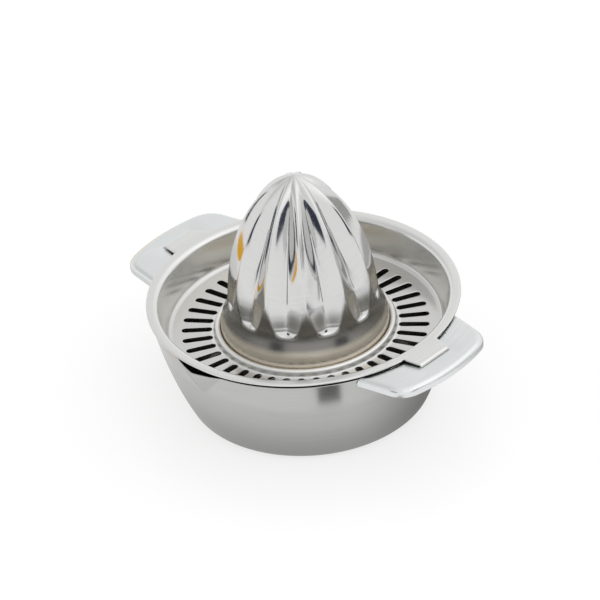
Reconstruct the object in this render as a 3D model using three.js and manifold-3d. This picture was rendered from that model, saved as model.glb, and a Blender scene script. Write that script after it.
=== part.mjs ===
// Manual citrus press juicer in pressed stainless steel.
// Millimetres, +Z up. The origin is the centre of the bowl's flat base, on the table.
// +X points to one wing handle, and the pouring spout points to -Y.
// The strainer dish and the reamer cone lift off the bowl together, straight up.

import * as THREE from 'three';
import { mergeVertices } from 'three/addons/utils/BufferGeometryUtils.js';
import Module from 'manifold-3d';

const wasm = await Module();
wasm.setup();

// Sheet metal
const SHEET = 0.8;              // thickness of the pressed bowl, dish and cone
const GAP = 0.3;                // clearance between pieces that touch
const LATHE_STEPS = 60;         // facets round the bowl and the dish

// Strainer dish
const RIM_RADIUS = 65;          // outer edge of the flange
const RIM_TOP = 47.8;           // height of the flange above the table
const FLANGE_WIDTH = 2.7;       // flat part of the flange
const LIP_BEND = 2.0;           // bend from the flange down into the wall
const WALL_LEAN = 12.5;         // degrees that the dish wall leans in
const DISH_DEPTH = 15.0;        // flange top to floor top
const FLOOR_BEND = 2.9;         // bend from the wall into the floor
const COLLAR_FOOT = 38.6;       // the floor turns up here into the raised collar
const COLLAR_RADIUS = 35.6;     // middle of the collar's inner edge
const COLLAR_HEIGHT = 2.7;      // collar crest above the floor
const COLLAR_CURVE = [1.4, 0.8];  // how far in from its foot the collar's S-curve is pulled
const COLLAR_LIP = 1.1;         // width and drop of the rolled inner edge

// Drain slots
const SLOT_COUNT = 41;
const SLOT_INNER = 38.7;
const SLOT_OUTER = 51.4;
const SLOT_WIDTH = 3.1;
const SLOT_PHASE = 2.8;         // degrees from +X to the first slot

// Locating tabs, one over each handle
const TAB_ROOT_WIDTH = 19.0;
const TAB_TIP_WIDTH = 15.8;
const TAB_DROP = 0.35;          // how far the tab slopes down before it turns
const TAB_REACH = 72.0;         // middle of the turned-down tip
const TAB_BEND = 0.8;
const TAB_TIP_DEPTH = 3.4;      // flange top to the end of the tip
const TAB_FLAT = 1.5;           // flat part of the tab on each side of the flange edge

// Reamer cone
const CONE_RADIUS = 31.4;       // the ogive's crest circle at its widest
const CONE_WIDEST_DROP = 8.0;   // flange top down to the ogive's widest circle
const CONE_RISE = 58.4;         // flange top up to the tip
const CONE_FULLNESS = 2.3;      // powers of the ogive outline
const CONE_BLUNTNESS = 0.625;
const FLARE_TOP_RISE = 2.2;     // flange top up to where the skirt starts to flare
const FLARE_FOOT_DROP = 11.4;   // flange top down to the foot of the flare
const FLARE_LOW_PULL = 5.1;     // how long each end of the flare stays upright
const FLARE_HIGH_PULL = 6.5;
const CONE_NECK = 34.4;         // the foot drops through the collar at this radius
const CONE_FLANGE = 38.4;       // outer edge of the hidden flange under the dish floor
const FOOT_BEND = 1;            // bend from the neck out into the hidden flange
const FLUTE_COUNT = 11;
const FLUTE_GROWTH = 15;        // depth of a flute as depth = growth * u * (1 - u * u)
const FLUTE_LIMIT = 0.3;        // deepest a flute may be, as a share of the local radius
const FLUTE_FOOT = -1.0;        // lowest point of a flute, from the flange top
const FLUTE_RUNOUT = 13;        // height from there to where the crests start
const FLUTE_ROUNDNESS = 0.3;    // power of the run-out: 1 is pointed, less is rounder
const FLUTE_VALLEY = 0.22;      // how round the bottom of a flute's V is
const FLUTE_PHASE = -43.9;      // degrees from +X to a crest
const STEPS_PER_FLUTE = 6;
const CONE_FLARE_RINGS = 5;
const CONE_RINGS = 11;

// Juice bowl
const BOWL_RIM_RADIUS = 63.3;   // middle of the sheet at the rim
const BOWL_RIM_DROP = 2.5;      // flange top down to the bowl's rim, a shadow gap under the flange
const BOWL_BASE_RADIUS = 45.5;  // flat part of the base
const BASE_BEND = 5.4;
const BASE_LEAN = 24.8;         // degrees off vertical at the foot of the wall
const RIM_LEAN = 10.6;          // degrees off vertical at the rim
const SPOUT_REACH = 3.4;        // how far the lip stands out
const SPOUT_HALF_WIDTH = 12;    // along the rim
const SPOUT_DEPTH = 12.5;       // how far the V runs down the wall

// Wing handles
const HANDLE_DROP = 1.6;        // flange top down to the handle's top face
const HANDLE_SHEET = 1.0;
const HANDLE_INNER = 64.0;      // clears the bowl wall
const HANDLE_OUTER = 82.0;
const HANDLE_ROOT_ANGLE = 27.6; // half angle of the sides where they leave the bowl
const HANDLE_TIP_ANGLE = 18.2;  // half angle of the outer corners
const HANDLE_CORNER = 6.5;      // length of the corner rounding along each side
const HANDLE_ROLL = 2.4;        // radius over which the edge rolls down
const HANDLE_LIP = 4.0;         // top face to the bottom of the rolled edge
const HANDLE_ROOT_RUN = 12;     // the sides run on this far before the bowl cuts them off
const LOCK_SLOT_WIDTH = 1.6;    // slot that takes the strainer's tab
const LOCK_SLOT_LENGTH = 17.0;
const WELD_FLANGE_HEIGHT = 8;   // turned-down flange against the bowl wall
const WELD_FLANGE_ANGLE = 14;   // half angle of the flange
const WELD_FLANGE_LEAN = 11.6;  // degrees off vertical, along the bowl wall

const TIDY = 0.01;              // booleans leave no edge shorter than this
const REACH = 100;              // beyond every piece, for cutting bodies

const HANDLE_TOP = RIM_TOP - HANDLE_DROP;
const BOWL_RIM_TOP = RIM_TOP - BOWL_RIM_DROP;
const FLOOR_MIDDLE = RIM_TOP - DISH_DEPTH - SHEET / 2;
const radians = THREE.MathUtils.degToRad;
const vec = (x, y) => new THREE.Vector2(x, y);

const steel = (colour, roughness) =>
  new THREE.MeshStandardMaterial({ color: colour, roughness, metalness: 1 });
const satinSteel = steel(0xb9bab6, 0.35);
const brightSteel = steel(0xdcdedc, 0.2);
const mirrorSteel = steel(0xd2d3d2, 0.12);

// ---------- solids and booleans ----------

function signedVolume(geometry) {
  const corners = geometry.index.array;
  const [a, b, c] = [new THREE.Vector3(), new THREE.Vector3(), new THREE.Vector3()];
  let volume = 0;
  for (let i = 0; i < corners.length; i += 3) {
    a.fromBufferAttribute(geometry.attributes.position, corners[i]);
    b.fromBufferAttribute(geometry.attributes.position, corners[i + 1]);
    c.fromBufferAttribute(geometry.attributes.position, corners[i + 2]);
    volume += a.dot(b.cross(c)) / 6;
  }
  return volume;
}

function toSolid(geometry) {
  const bare = geometry.clone();
  bare.deleteAttribute('normal');
  bare.deleteAttribute('uv');
  const merged = mergeVertices(bare, 1e-4);
  const corners = Uint32Array.from(merged.index.array);
  if (signedVolume(merged) < 0) {
    for (let i = 0; i < corners.length; i += 3) {
      [corners[i + 1], corners[i + 2]] = [corners[i + 2], corners[i + 1]];
    }
  }
  const kept = [];
  for (let i = 0; i < corners.length; i += 3) {
    const [a, b, c] = corners.subarray(i, i + 3);
    if (a !== b && b !== c && c !== a) kept.push(a, b, c);
  }
  return new wasm.Manifold(new wasm.Mesh({
    numProp: 3,
    vertProperties: Float32Array.from(merged.attributes.position.array),
    triVerts: Uint32Array.from(kept),
  }));
}

function toGeometry(solid) {
  const mesh = solid.getMesh();
  const geometry = new THREE.BufferGeometry();
  geometry.setAttribute('position', new THREE.BufferAttribute(mesh.vertProperties, 3));
  geometry.setIndex(new THREE.BufferAttribute(mesh.triVerts, 1));
  geometry.computeVertexNormals();
  return geometry;
}

function piece(name, solid, material) {
  const mesh = new THREE.Mesh(toGeometry(solid), material);
  mesh.name = name;
  return mesh;
}

// ---------- sheet metal sections ----------

// Points of a path: one step for a straight line, and its own number for an arc or a free curve.
function pathPoints(path, arcSteps, curveSteps) {
  const points = [path.curves[0].getPoint(0)];
  for (const curve of path.curves) {
    const steps = curve.isLineCurve ? 1 : curve.isEllipseCurve ? arcSteps : curveSteps;
    for (let i = 1; i <= steps; i++) points.push(curve.getPoint(i / steps));
  }
  return points.filter((p, i) => i === 0 || p.distanceTo(points[i - 1]) > 1e-4);
}

// Closed section of a sheet that follows a middle line. An end on the axis stays on the axis.
function sheetSection(middle, thickness) {
  const last = middle.length - 1;
  const direction = (i) => middle[i + 1].clone().sub(middle[i]).normalize();
  const side = (sign) => middle.map((p, i) => {
    const before = direction(Math.max(i - 1, 0));
    const after = direction(Math.min(i, last - 1));
    const along = before.clone().add(after).normalize();
    const mitre = 1 / Math.max(along.dot(after), 0.7);
    const offset = vec(-along.y, along.x).multiplyScalar(sign * mitre * thickness / 2);
    return p.x < 1e-6 ? vec(0, p.y + Math.sign(offset.y) * thickness / 2) : p.clone().add(offset);
  });
  return [...side(1), ...side(-1).reverse()];
}

// Revolves a section round Z. A section that doesn't touch the axis closes on itself.
function revolve(section, steps) {
  const open = section[0].x < 1e-6;
  const points = open ? section : [...section, section[0].clone()];
  return new THREE.LatheGeometry(points, steps).rotateX(Math.PI / 2);
}

// Moves every vertex of a lathe in or out by push(angle in degrees, height, radius).
function pushRadially(geometry, push) {
  const position = geometry.attributes.position;
  for (let i = 0; i < position.count; i++) {
    const [x, y, z] = [position.getX(i), position.getY(i), position.getZ(i)];
    const radius = Math.hypot(x, y);
    if (radius < 1e-6) continue;
    const angle = THREE.MathUtils.radToDeg(Math.atan2(y, x));
    const scale = (radius + push(angle, z, radius)) / radius;
    position.setXY(i, x * scale, y * scale);
  }
  return geometry;
}

// Where a line from a in direction u meets a line from b in direction v.
function crossing(a, u, b, v) {
  const gap = b.clone().sub(a);
  return a.clone().addScaledVector(u, gap.cross(v) / u.cross(v));
}

const ring = (path, curveSteps) =>
  revolve(sheetSection(pathPoints(path, 3, curveSteps), SHEET), LATHE_STEPS);

// ---------- outlines in plan ----------

// An upright prism of a plan outline, from bottom to top.
function prism(shape, bottom, top, curveSegments = 12) {
  const depth = top - bottom;
  const geometry = new THREE.ExtrudeGeometry(shape, { depth, bevelEnabled: false, curveSegments });
  return toSolid(geometry.translate(0, 0, bottom));
}

function cylinder(radius, bottom, top) {
  const outline = [vec(0, bottom), vec(radius, bottom), vec(radius, top), vec(0, top)];
  return toSolid(revolve(outline, LATHE_STEPS));
}

function rectangle(x0, y0, x1, y1) {
  return new THREE.Shape([vec(x0, y0), vec(x1, y0), vec(x1, y1), vec(x0, y1)]);
}

// ---------- juice bowl ----------

function bowlMiddle() {
  const lean = radians(BASE_LEAN);
  const foot = vec(BOWL_BASE_RADIUS + BASE_BEND * Math.cos(lean),
    SHEET / 2 + BASE_BEND - BASE_BEND * Math.sin(lean));
  const rim = vec(BOWL_RIM_RADIUS, BOWL_RIM_TOP);
  const footDirection = vec(Math.sin(lean), Math.cos(lean));
  const rimDirection = vec(Math.sin(radians(RIM_LEAN)), Math.cos(radians(RIM_LEAN)));
  const control = crossing(foot, footDirection, rim, rimDirection);
  const path = new THREE.Path();
  path.moveTo(0, SHEET / 2);
  path.lineTo(BOWL_BASE_RADIUS, SHEET / 2);
  path.absarc(BOWL_BASE_RADIUS, SHEET / 2 + BASE_BEND, BASE_BEND, -Math.PI / 2, -lean, false);
  path.quadraticCurveTo(control.x, control.y, rim.x, rim.y);
  return path;
}

// A flat-sided V: a ridge that is furthest out at the lip and fades down the wall.
function spoutPush(angle, height, radius) {
  const along = Math.abs(THREE.MathUtils.euclideanModulo(angle + 270, 360) - 180);
  const across = radians(along) * radius / SPOUT_HALF_WIDTH;
  const down = (BOWL_RIM_TOP - height) / SPOUT_DEPTH;
  return SPOUT_REACH * Math.max(0, 1 - Math.max(down, 0) - across);
}

function juiceBowl() {
  const shell = ring(bowlMiddle(), 7);
  return toSolid(pushRadially(shell, spoutPush));
}

// ---------- strainer dish ----------

function dishMiddle() {
  const lean = radians(WALL_LEAN);
  const top = RIM_TOP - SHEET / 2;
  const lip = vec(RIM_RADIUS - FLANGE_WIDTH, top - LIP_BEND);
  const lipEnd = vec(lip.x - LIP_BEND * Math.cos(lean), lip.y + LIP_BEND * Math.sin(lean));
  const bendHeight = FLOOR_MIDDLE + FLOOR_BEND;
  const wallFoot = bendHeight - FLOOR_BEND * Math.sin(lean);
  const wallFootRadius = lipEnd.x - (lipEnd.y - wallFoot) * Math.tan(lean);
  const bendRadius = wallFootRadius - FLOOR_BEND * Math.cos(lean);
  const crest = FLOOR_MIDDLE + COLLAR_HEIGHT;
  const path = new THREE.Path();
  path.moveTo(RIM_RADIUS, top);
  path.lineTo(lip.x, top);
  path.absarc(lip.x, lip.y, LIP_BEND, Math.PI / 2, Math.PI - lean, false);
  path.lineTo(wallFootRadius, wallFoot);
  path.absarc(bendRadius, bendHeight, FLOOR_BEND, -lean, -Math.PI / 2, true);
  path.lineTo(COLLAR_FOOT, FLOOR_MIDDLE);
  path.bezierCurveTo(COLLAR_FOOT - COLLAR_CURVE[0], FLOOR_MIDDLE, COLLAR_FOOT - COLLAR_CURVE[1], crest,
    COLLAR_RADIUS + COLLAR_LIP, crest);
  path.quadraticCurveTo(COLLAR_RADIUS, crest, COLLAR_RADIUS, crest - COLLAR_LIP);
  return path;
}

function drainSlot(index) {
  const half = SLOT_WIDTH / 2;
  const shape = new THREE.Shape();
  shape.absarc(SLOT_INNER + half, 0, half, Math.PI / 2, Math.PI * 1.5, false);
  shape.absarc(SLOT_OUTER - half, 0, half, -Math.PI / 2, Math.PI / 2, false);
  const cutter = prism(shape, FLOOR_MIDDLE - SHEET, FLOOR_MIDDLE + SHEET, 2);
  return cutter.rotate([0, 0, SLOT_PHASE + index * 360 / SLOT_COUNT]);
}

// A tab along +X: it slopes down from the flange and its tip turns down through the handle.
function locatingTab() {
  const root = RIM_RADIUS - TAB_FLAT;
  const top = RIM_TOP - SHEET / 2;
  const turn = vec(TAB_REACH - TAB_BEND, top - TAB_DROP - TAB_BEND);
  const path = new THREE.Path();
  path.moveTo(root, top);
  path.lineTo(RIM_RADIUS + TAB_FLAT, top);
  path.lineTo(turn.x, turn.y + TAB_BEND);
  path.absarc(turn.x, turn.y, TAB_BEND, Math.PI / 2, 0, true);
  path.lineTo(TAB_REACH, RIM_TOP - TAB_TIP_DEPTH);
  const section = new THREE.Shape(sheetSection(pathPoints(path, 3, 3), SHEET));
  const strip = new THREE.ExtrudeGeometry(section, { depth: REACH, bevelEnabled: false });
  strip.translate(0, 0, -REACH / 2).rotateX(Math.PI / 2);
  const taper = new THREE.Shape([
    vec(0, -TAB_ROOT_WIDTH / 2), vec(RIM_RADIUS, -TAB_ROOT_WIDTH / 2),
    vec(TAB_REACH, -TAB_TIP_WIDTH / 2), vec(REACH, -TAB_TIP_WIDTH / 2),
    vec(REACH, TAB_TIP_WIDTH / 2), vec(TAB_REACH, TAB_TIP_WIDTH / 2),
    vec(RIM_RADIUS, TAB_ROOT_WIDTH / 2), vec(0, TAB_ROOT_WIDTH / 2)]);
  return toSolid(strip).intersect(prism(taper, 0, REACH));
}

function strainerDish() {
  let dish = toSolid(ring(dishMiddle(), 3));
  for (let i = 0; i < SLOT_COUNT; i++) {
    dish = dish.subtract(drainSlot(i));
  }
  const tab = locatingTab();
  return dish.add(tab).add(tab.rotate([0, 0, 180])).simplify(TIDY);
}

// ---------- reamer cone ----------

function coneRadius(height) {
  const widest = RIM_TOP - CONE_WIDEST_DROP;
  const share = THREE.MathUtils.clamp((height - widest) / (CONE_RISE + CONE_WIDEST_DROP), 0, 1);
  return CONE_RADIUS * (1 - share ** CONE_FULLNESS) ** CONE_BLUNTNESS;
}

// Middle line from the hidden flange, up through the collar, up the flared skirt and the ogive.
function coneMiddle() {
  const flange = FLOOR_MIDDLE - SHEET - GAP;
  const flareFoot = RIM_TOP - FLARE_FOOT_DROP;
  const flareTop = RIM_TOP + FLARE_TOP_RISE;
  const skirt = coneRadius(flareTop) - SHEET / 2;
  const path = new THREE.Path();
  path.moveTo(CONE_FLANGE, flange);
  path.lineTo(CONE_NECK + FOOT_BEND, flange);
  path.absarc(CONE_NECK + FOOT_BEND, flange + FOOT_BEND, FOOT_BEND, -Math.PI / 2, -Math.PI, true);
  path.lineTo(CONE_NECK, flareFoot);
  path.bezierCurveTo(CONE_NECK, flareFoot + FLARE_LOW_PULL, skirt, flareTop - FLARE_HIGH_PULL,
    skirt, flareTop);
  const points = pathPoints(path, 2, CONE_FLARE_RINGS);
  const tip = RIM_TOP + CONE_RISE - SHEET / 2;
  for (let i = 1; i <= CONE_RINGS; i++) {
    const share = Math.sin(i / CONE_RINGS * Math.PI / 2);
    const height = THREE.MathUtils.lerp(flareTop, tip, share);
    const radius = i === CONE_RINGS ? 0 : coneRadius(height + SHEET / 2) - SHEET / 2;
    points.push(vec(radius, height));
  }
  return points;
}

// Depth of a flute's middle below the crest circle, at a height above the flute's foot.
function fluteDepth(rise) {
  const ogive = (u) => FLUTE_GROWTH * u * (1 - u * u);
  const u = THREE.MathUtils.clamp(rise / (CONE_RISE - FLUTE_FOOT), 0, 1);
  const start = FLUTE_RUNOUT / (CONE_RISE - FLUTE_FOOT);
  return u < start ? ogive(start) * (u / start) ** FLUTE_ROUNDNESS : ogive(u);
}

// V flutes: each opens from a point at its foot, and from the run-out up they meet in crests.
function flutePush(angle, height, radius) {
  const turn = (angle - FLUTE_PHASE) * FLUTE_COUNT / 360;
  const across = 2 * (turn - Math.floor(turn)) - 1;
  const rise = height - RIM_TOP - FLUTE_FOOT;
  const depth = Math.min(fluteDepth(rise), FLUTE_LIMIT * radius);
  const crest = rise < FLUTE_RUNOUT ? fluteDepth(FLUTE_RUNOUT) : depth;
  const valley = (share) => Math.hypot(share, FLUTE_VALLEY) - FLUTE_VALLEY;
  return -Math.max(0, depth - crest * valley(across) / valley(1));
}

function reamerCone() {
  const section = sheetSection(coneMiddle(), SHEET);
  const half = section.length / 2;
  const fromAxis = [...section.slice(0, half).reverse(), ...section.slice(half).reverse()];
  const blank = revolve(fromAxis, FLUTE_COUNT * STEPS_PER_FLUTE);
  const crestTurn = radians(FLUTE_PHASE + 90);
  blank.rotateZ(crestTurn);
  return toSolid(pushRadially(blank, flutePush));
}

// ---------- wing handles ----------

// Plan outline of a handle along +X, drawn in by inset, and reaching inside the bowl wall.
function handleOutline(inset) {
  const outer = HANDLE_OUTER - inset;
  const root = vec(Math.cos(radians(HANDLE_ROOT_ANGLE)), Math.sin(radians(HANDLE_ROOT_ANGLE)));
  const corner = vec(Math.cos(radians(HANDLE_TIP_ANGLE)), Math.sin(radians(HANDLE_TIP_ANGLE)));
  const rootPoint = root.multiplyScalar(HANDLE_INNER);
  const cornerPoint = corner.multiplyScalar(HANDLE_OUTER);
  const side = cornerPoint.clone().sub(rootPoint).normalize();
  const inward = vec(side.y, -side.x).multiplyScalar(inset);
  const start = rootPoint.clone().add(inward).addScaledVector(side, -HANDLE_ROOT_RUN);
  const cornerInset = cornerPoint.clone().add(inward).addScaledVector(side, -inset);
  const bendStart = cornerInset.clone().addScaledVector(side, -HANDLE_CORNER);
  const bendEnd = Math.asin(cornerInset.y / outer) - HANDLE_CORNER / outer;
  const shape = new THREE.Shape();
  shape.moveTo(start.x, -start.y);
  shape.lineTo(bendStart.x, -bendStart.y);
  shape.quadraticCurveTo(cornerInset.x, -cornerInset.y,
    outer * Math.cos(bendEnd), -outer * Math.sin(bendEnd));
  shape.absarc(0, 0, outer, -bendEnd, bendEnd, false);
  shape.quadraticCurveTo(cornerInset.x, cornerInset.y, bendStart.x, bendStart.y);
  shape.lineTo(start.x, start.y);
  return shape;
}

// A plate with a rolled edge: its top is at the given height and it runs well below.
function rolledBlock(inset, top) {
  const depth = WELD_FLANGE_HEIGHT;
  const geometry = new THREE.ExtrudeGeometry(handleOutline(inset), {
    depth, curveSegments: 8, bevelEnabled: true, bevelSegments: 3,
    bevelSize: HANDLE_ROLL, bevelOffset: -HANDLE_ROLL, bevelThickness: HANDLE_ROLL,
  });
  return toSolid(geometry.translate(0, 0, top - depth - HANDLE_ROLL));
}

// A curved flange turned down from the plate's inner edge, following the bowl wall.
function weldFlange() {
  const top = HANDLE_TOP - HANDLE_SHEET / 2;
  const bottom = top - WELD_FLANGE_HEIGHT;
  const drawIn = WELD_FLANGE_HEIGHT * Math.tan(radians(WELD_FLANGE_LEAN));
  const inner = HANDLE_INNER;
  const outer = HANDLE_INNER + HANDLE_SHEET;
  const band = toSolid(revolve([vec(inner, top), vec(inner - drawIn, bottom),
    vec(outer - drawIn, bottom), vec(outer, top)], LATHE_STEPS));
  const spread = REACH * Math.tan(radians(WELD_FLANGE_ANGLE));
  const wedge = new THREE.Shape([vec(0, 0), vec(REACH, -spread), vec(REACH, spread)]);
  return band.intersect(prism(wedge, 0, REACH));
}

function wingHandle() {
  const slot = rectangle(TAB_REACH - LOCK_SLOT_WIDTH / 2, -LOCK_SLOT_LENGTH / 2,
    TAB_REACH + LOCK_SLOT_WIDTH / 2, LOCK_SLOT_LENGTH / 2);
  const below = rectangle(0, -REACH, REACH, REACH);
  return rolledBlock(0, HANDLE_TOP)
    .subtract(rolledBlock(HANDLE_SHEET, HANDLE_TOP - HANDLE_SHEET))
    .subtract(prism(below, 0, HANDLE_TOP - HANDLE_LIP))
    .subtract(cylinder(HANDLE_INNER, 0, REACH))
    .subtract(prism(slot, 0, REACH))
    .add(weldFlange())
    .simplify(TIDY);
}

// ---------- assembly ----------

const juicer = new THREE.Group();
const bowlBody = new THREE.Group();
const strainerBody = new THREE.Group();
const handle = wingHandle();
bowlBody.add(
  piece('juice_bowl', juiceBowl(), satinSteel),
  piece('right_handle', handle, brightSteel),
  piece('left_handle', handle.rotate([0, 0, 180]), brightSteel),
);
strainerBody.add(
  piece('strainer_dish', strainerDish(), brightSteel),
  piece('reamer_cone', reamerCone(), mirrorSteel),
);
juicer.add(bowlBody, strainerBody);

export default juicer;
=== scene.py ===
"""Citrus press juicer in pressed stainless steel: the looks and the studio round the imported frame."""

import math

import bmesh
import bpy
import numpy as np
from mathutils import Matrix, Vector
from mathutils.geometry import delaunay_2d_cdt


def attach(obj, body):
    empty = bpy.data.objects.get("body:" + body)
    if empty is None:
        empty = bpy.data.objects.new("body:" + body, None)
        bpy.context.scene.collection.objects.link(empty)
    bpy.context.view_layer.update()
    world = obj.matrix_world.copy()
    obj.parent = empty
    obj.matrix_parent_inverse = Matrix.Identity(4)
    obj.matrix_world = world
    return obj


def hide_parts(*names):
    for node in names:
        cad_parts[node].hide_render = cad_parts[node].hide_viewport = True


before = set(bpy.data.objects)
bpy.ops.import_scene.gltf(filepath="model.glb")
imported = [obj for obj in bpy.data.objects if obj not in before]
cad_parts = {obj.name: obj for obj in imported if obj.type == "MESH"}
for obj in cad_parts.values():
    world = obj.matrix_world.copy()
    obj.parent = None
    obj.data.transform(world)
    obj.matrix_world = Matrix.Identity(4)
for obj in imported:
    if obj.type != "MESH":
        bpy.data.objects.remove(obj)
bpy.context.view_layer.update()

# ---------- driving dimensions, in millimetres and degrees, as in the CAD part ----------

MM = 0.001
SHEET = 0.8
GAP = 0.3
WELD_DISTANCE = 0.0005

# Strainer dish
RIM_RADIUS = 65.0
RIM_TOP = 47.8
FLANGE_WIDTH = 2.7
LIP_BEND = 2.0
WALL_LEAN = 12.5
DISH_DEPTH = 15.0
FLOOR_BEND = 2.9
COLLAR_FOOT = 38.4
COLLAR_RADIUS = 35.5
COLLAR_HEIGHT = 2.7
COLLAR_LOW_PULL = 1.2          # how far in from its foot each end of the collar's S-curve is pulled
COLLAR_HIGH_PULL = 0.6
COLLAR_LIP = 1.1               # width and drop of the rolled inner edge
EDGE_ROUND = 0.25              # deburred radius of a cut edge
FLOOR_MIDDLE = RIM_TOP - DISH_DEPTH - SHEET / 2

# Drain slots
SLOT_COUNT = 41
SLOT_INNER = 38.7
SLOT_OUTER = 51.4
SLOT_WIDTH = 3.1
SLOT_PHASE = 2.8
SLOT_ROUND = 0.14
SLOT_RING = 52.4               # the slotted part of the floor ends here
COLUMNS_PER_SLOT = 10
SIDE_STEPS = 10
RING_SHARE = 0.4               # how far the floor's middle loop lies from the slot to the sector's border

# Locating tabs
TAB_ROOT_WIDTH = 19.0
TAB_TIP_WIDTH = 15.8
TAB_DROP = 0.35
TAB_REACH = 72.0
TAB_BEND = 1.0
TAB_TIP_DEPTH = 3.4
TAB_CORNER = 1.2
TAB_FLAT = 0.6                 # flat part of the tab beyond the flange edge
TAB_ROOT_PULL = 2.4            # how far each end of the tab's slope stays level
TAB_TIP_PULL = 2.6
TAB_SETTLE_ROWS = 4            # rows over which the tab's curved root becomes straight

# Reamer cone
CONE_RADIUS = 31.4
CONE_WIDEST_DROP = 8.0
CONE_RISE = 58.4
CONE_FULLNESS = 2.3
CONE_BLUNTNESS = 0.625
FLARE_TOP_RISE = 2.2
FLARE_FOOT_DROP = 11.4
FLARE_LOW_PULL = 5.1
FLARE_HIGH_PULL = 6.5
CONE_NECK = 34.5
CONE_FLANGE = 38.4
FOOT_BEND = 1.0
FLUTE_COUNT = 11
FLUTE_GROWTH = 15.0
FLUTE_LIMIT = 0.3
FLUTE_FOOT = -1.0
FLUTE_RUNOUT = 13.0
FLUTE_ROUNDNESS = 0.3
FLUTE_VALLEY = 0.22            # how round the bottom of a flute's V is
FLUTE_PHASE = -43.9
COLUMNS_PER_FLUTE = 40
CREST_ROUND = 0.45             # radius over which a crest is rounded
CREST_LEAST_RADIUS = 0.5       # nearer the axis than this the flutes' pitch stays the same
FLUTE_SOFTNESS = 0.14          # how softly a flute meets the skirt
FLUTE_TIP_SOFTNESS = 0.02      # the same near the tip, as a share of the radius
FLUTE_FADE = 1.5               # nothing is pressed further than this below the flute's foot

# Juice bowl
BOWL_RIM_RADIUS = 63.3
BOWL_RIM_DROP = 2.5
BOWL_BASE_RADIUS = 45.5
BASE_BEND = 5.4
BASE_LEAN = 24.8
RIM_LEAN = 10.6
SPOUT_REACH = 3.4
SPOUT_HALF_WIDTH = 12.0
SPOUT_DEPTH = 12.5
SPOUT_SOFTNESS = 0.05
BOWL_RIM_TOP = RIM_TOP - BOWL_RIM_DROP

# Wing handles
HANDLE_TOP = RIM_TOP - 1.6
HANDLE_SHEET = 1.0
HANDLE_INNER = 64.0
HANDLE_OUTER = 82.0
HANDLE_ROOT_ANGLE = 27.6
HANDLE_TIP_ANGLE = 18.2
HANDLE_CORNER = 6.5
HANDLE_ROLL = 2.4
HANDLE_LIP = 4.0
LOCK_SLOT_WIDTH = 1.6
LOCK_SLOT_LENGTH = 17.0
LOCK_SLOT_CORNER = 0.5
WELD_FLANGE_HEIGHT = 8.0
WELD_FLANGE_ANGLE = 14.0
WELD_BEND = 1.5                # outer radius of the bend into the weld flange
RELIEF_ANGLE = 0.6             # width of the relief notch beside the weld flange
RELIEF_DEPTH = 0.5
WELD_FLANGE_LEAN = RIM_LEAN + 1
WELD_SPOT_ANGLE = 7.5
WELD_SPOT_DROP = 5.0
WELD_SPOT_RADIUS = 1.6
WELD_SPOT_DEPTH = 0.18
WELD_SPOT_STEEPNESS = 1.25     # how much of a spot is flat, and how steep its side is

# Camera, fitted to the object's outline
CAMERA_DISTANCE = 1.95
CAMERA_ELEVATION = 33.82
CAMERA_AZIMUTH = 45.2
CAMERA_ROLL = 4.46
CAMERA_LENS = 284.2
SENSOR_WIDTH = 36.0
SHIFT_X = -0.0054
SHIFT_Y = -0.0093


# Things out of the picture that only show as reflections. Azimuths are from the camera's side,
# + to its right. Distances and heights are in millimetres.
ROOM_STRENGTH = 1.0
SKY_SLANT = 0.45               # how much brighter the right side of the room is than its middle, overhead
SKY_FRONT = 0.3                # how much of that the front of the room gets
SKY_RISE = (0.25, 0.7)         # the slant comes in between these sines of the elevation
BOARDS = (                     # azimuth from, to; distance; bottom, top; tone
    (37, 57, 1500, 105, 650, (0.04, 0.045, 0.07)),
    (-52, -31, 1500, 105, 650, (0.04, 0.045, 0.07)),
    (-90, -82, 450, 45, 225, (0.06, 0.06, 0.06)),
    (66, 90, 600, 1, 130, (0.42, 0.42, 0.41)),
)
FRUIT = ((-86, 190, 26), (-142, 130, 22))   # azimuth, distance, radius

# Painted shadow on the table round the bowl, which only shows in reflections: from, to, then the tone at each
# end. Radii are in millimetres.
SHADE_REACH = 320.0
SHADE_RADII = ((73.5, 78.5, 0.86, 1.0), (48.0, 72.0, 0.60, 1.0))
SHADE_LEFT = (-120.0, -50.0, 0.80, 1.0)
SHADE_RIGHT = (15.0, 80.0, 1.0, 0.42)        # close to the bowl
SHADE_FAR_RIGHT = (60.0, 95.0, 1.0, 0.5)
SHADE_CLOSE = (88.0, 96.0)                   # where close turns into far
HANDLE_SHADOW_AZIMUTHS = (3.5, 16.0)
HANDLE_SHADOW_RADII = (81, 130)
HANDLE_SHADOW_TONE = 0.15


# ---------- lines and sections ----------

def line(a, b, steps=1):
    return np.linspace(a, b, steps + 1)


def arc(centre, radius, start, end, steps):
    turn = np.radians(np.linspace(start, end, steps + 1))
    return np.stack([centre[0] + radius * np.cos(turn), centre[1] + radius * np.sin(turn)], 1)


def bezier(points, steps):
    t = np.linspace(0, 1, steps + 1)[:, None]
    layer = [np.array(p, float)[None, :] for p in points]
    while len(layer) > 1:
        layer = [a * (1 - t) + b * t for a, b in zip(layer, layer[1:])]
    return layer[0]


def joined(*parts):
    """One line through the parts, without repeated points."""
    points = np.concatenate([np.asarray(p, float) for p in parts])
    keep = np.ones(len(points), bool)
    keep[1:] = np.linalg.norm(np.diff(points, axis=0), axis=1) > 1e-6
    return points[keep]


def crossing(a, u, b, v):
    """Where a line from a in direction u meets a line from b in direction v."""
    gap = np.subtract(b, a)
    return np.asarray(a) + np.asarray(u) * (gap[0] * v[1] - gap[1] * v[0]) / (u[0] * v[1] - u[1] * v[0])


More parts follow.
